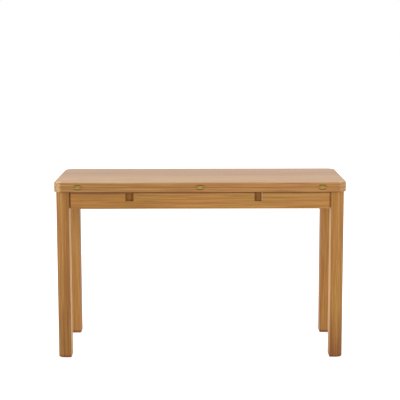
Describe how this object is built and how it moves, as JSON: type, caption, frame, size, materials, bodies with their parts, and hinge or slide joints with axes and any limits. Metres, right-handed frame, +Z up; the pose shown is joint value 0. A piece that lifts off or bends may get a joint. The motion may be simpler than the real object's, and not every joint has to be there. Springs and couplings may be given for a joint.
{
  "type": "flip-top extending dining table",
  "caption": "Narrow wooden table whose upper leaf turns over on brass edge hinges to double the top, resting on bars that pull out of the front rail.",
  "frame": {"origin": "on the floor under the middle of the table top", "axes": "+X along the table's length, to the right seen from the front; +Y to the back, away from the hinged edge; +Z up"},
  "size_m": [1.2, 0.403, 0.74],
  "materials": {
    "oak_leaf": "satin lacquered oak",
    "oak_frame": "satin lacquered oak",
    "oak_loper": "darker hardwood, lightly waxed",
    "brass": "satin brass",
    "steel": "zinc plated",
    "felt": "pressed felt"
  },
  "bodies": {
    "frame": {"lower_leaf": "oak_leaf", "hinge_left_fixed_plate": "brass", "hinge_left_pin": "brass", "hinge_left_fixed_screw_1": "brass", "hinge_left_fixed_screw_2": "brass", "hinge_centre_fixed_plate": "brass", "hinge_centre_pin": "brass", "hinge_centre_fixed_screw_1": "brass", "hinge_centre_fixed_screw_2": "brass", "hinge_right_fixed_plate": "brass", "hinge_right_pin": "brass", "hinge_right_fixed_screw_1": "brass", "hinge_right_fixed_screw_2": "brass", "leg_front_left": "oak_frame", "leg_front_right": "oak_frame", "leg_back_left": "oak_frame", "leg_back_right": "oak_frame", "corner_bracket_front_left": "steel", "corner_bracket_front_right": "steel", "corner_bracket_back_left": "steel", "corner_bracket_back_right": "steel", "leg_bolt_front_left": "steel", "leg_bolt_front_right": "steel", "leg_bolt_back_left": "steel", "leg_bolt_back_right": "steel", "leg_nut_front_left": "steel", "leg_nut_front_right": "steel", "leg_nut_back_left": "steel", "leg_nut_back_right": "steel", "foot_pad_front_left": "felt", "foot_pad_front_right": "felt", "foot_pad_back_left": "felt", "foot_pad_back_right": "felt", "front_rail": "oak_frame", "back_rail": "oak_frame", "end_rail_left": "oak_frame", "end_rail_right": "oak_frame", "cross_bearer_left": "oak_frame", "cross_bearer_right": "oak_frame", "loper_cleat_left": "oak_frame", "loper_cleat_right": "oak_frame", "loper_runner_left": "oak_frame", "loper_runner_right": "oak_frame", "stop_peg_left": "oak_loper", "stop_peg_right": "oak_loper"},
    "flip_leaf": {"upper_leaf": "oak_leaf", "hinge_left_moving_plate": "brass", "hinge_left_moving_screw_1": "brass", "hinge_left_moving_screw_2": "brass", "hinge_centre_moving_plate": "brass", "hinge_centre_moving_screw_1": "brass", "hinge_centre_moving_screw_2": "brass", "hinge_right_moving_plate": "brass", "hinge_right_moving_screw_1": "brass", "hinge_right_moving_screw_2": "brass"},
    "left_loper": {"loper_left": "oak_loper"},
    "right_loper": {"loper_right": "oak_loper"}
  },
  "joints": [
    {"name": "leaf_flip", "type": "hinge", "parent": "frame", "child": "flip_leaf", "pos_m": [0, -0.2004, 0.7197], "axis": [1, 0, 0], "range_deg": [0, 180]},
    {"name": "left_loper_slide", "type": "slide", "parent": "frame", "child": "left_loper", "axis": [0, -1, 0], "range_m": [0, 0.2447]},
    {"name": "right_loper_slide", "type": "slide", "parent": "frame", "child": "right_loper", "axis": [0, -1, 0], "range_m": [0, 0.2447]}
  ]
}
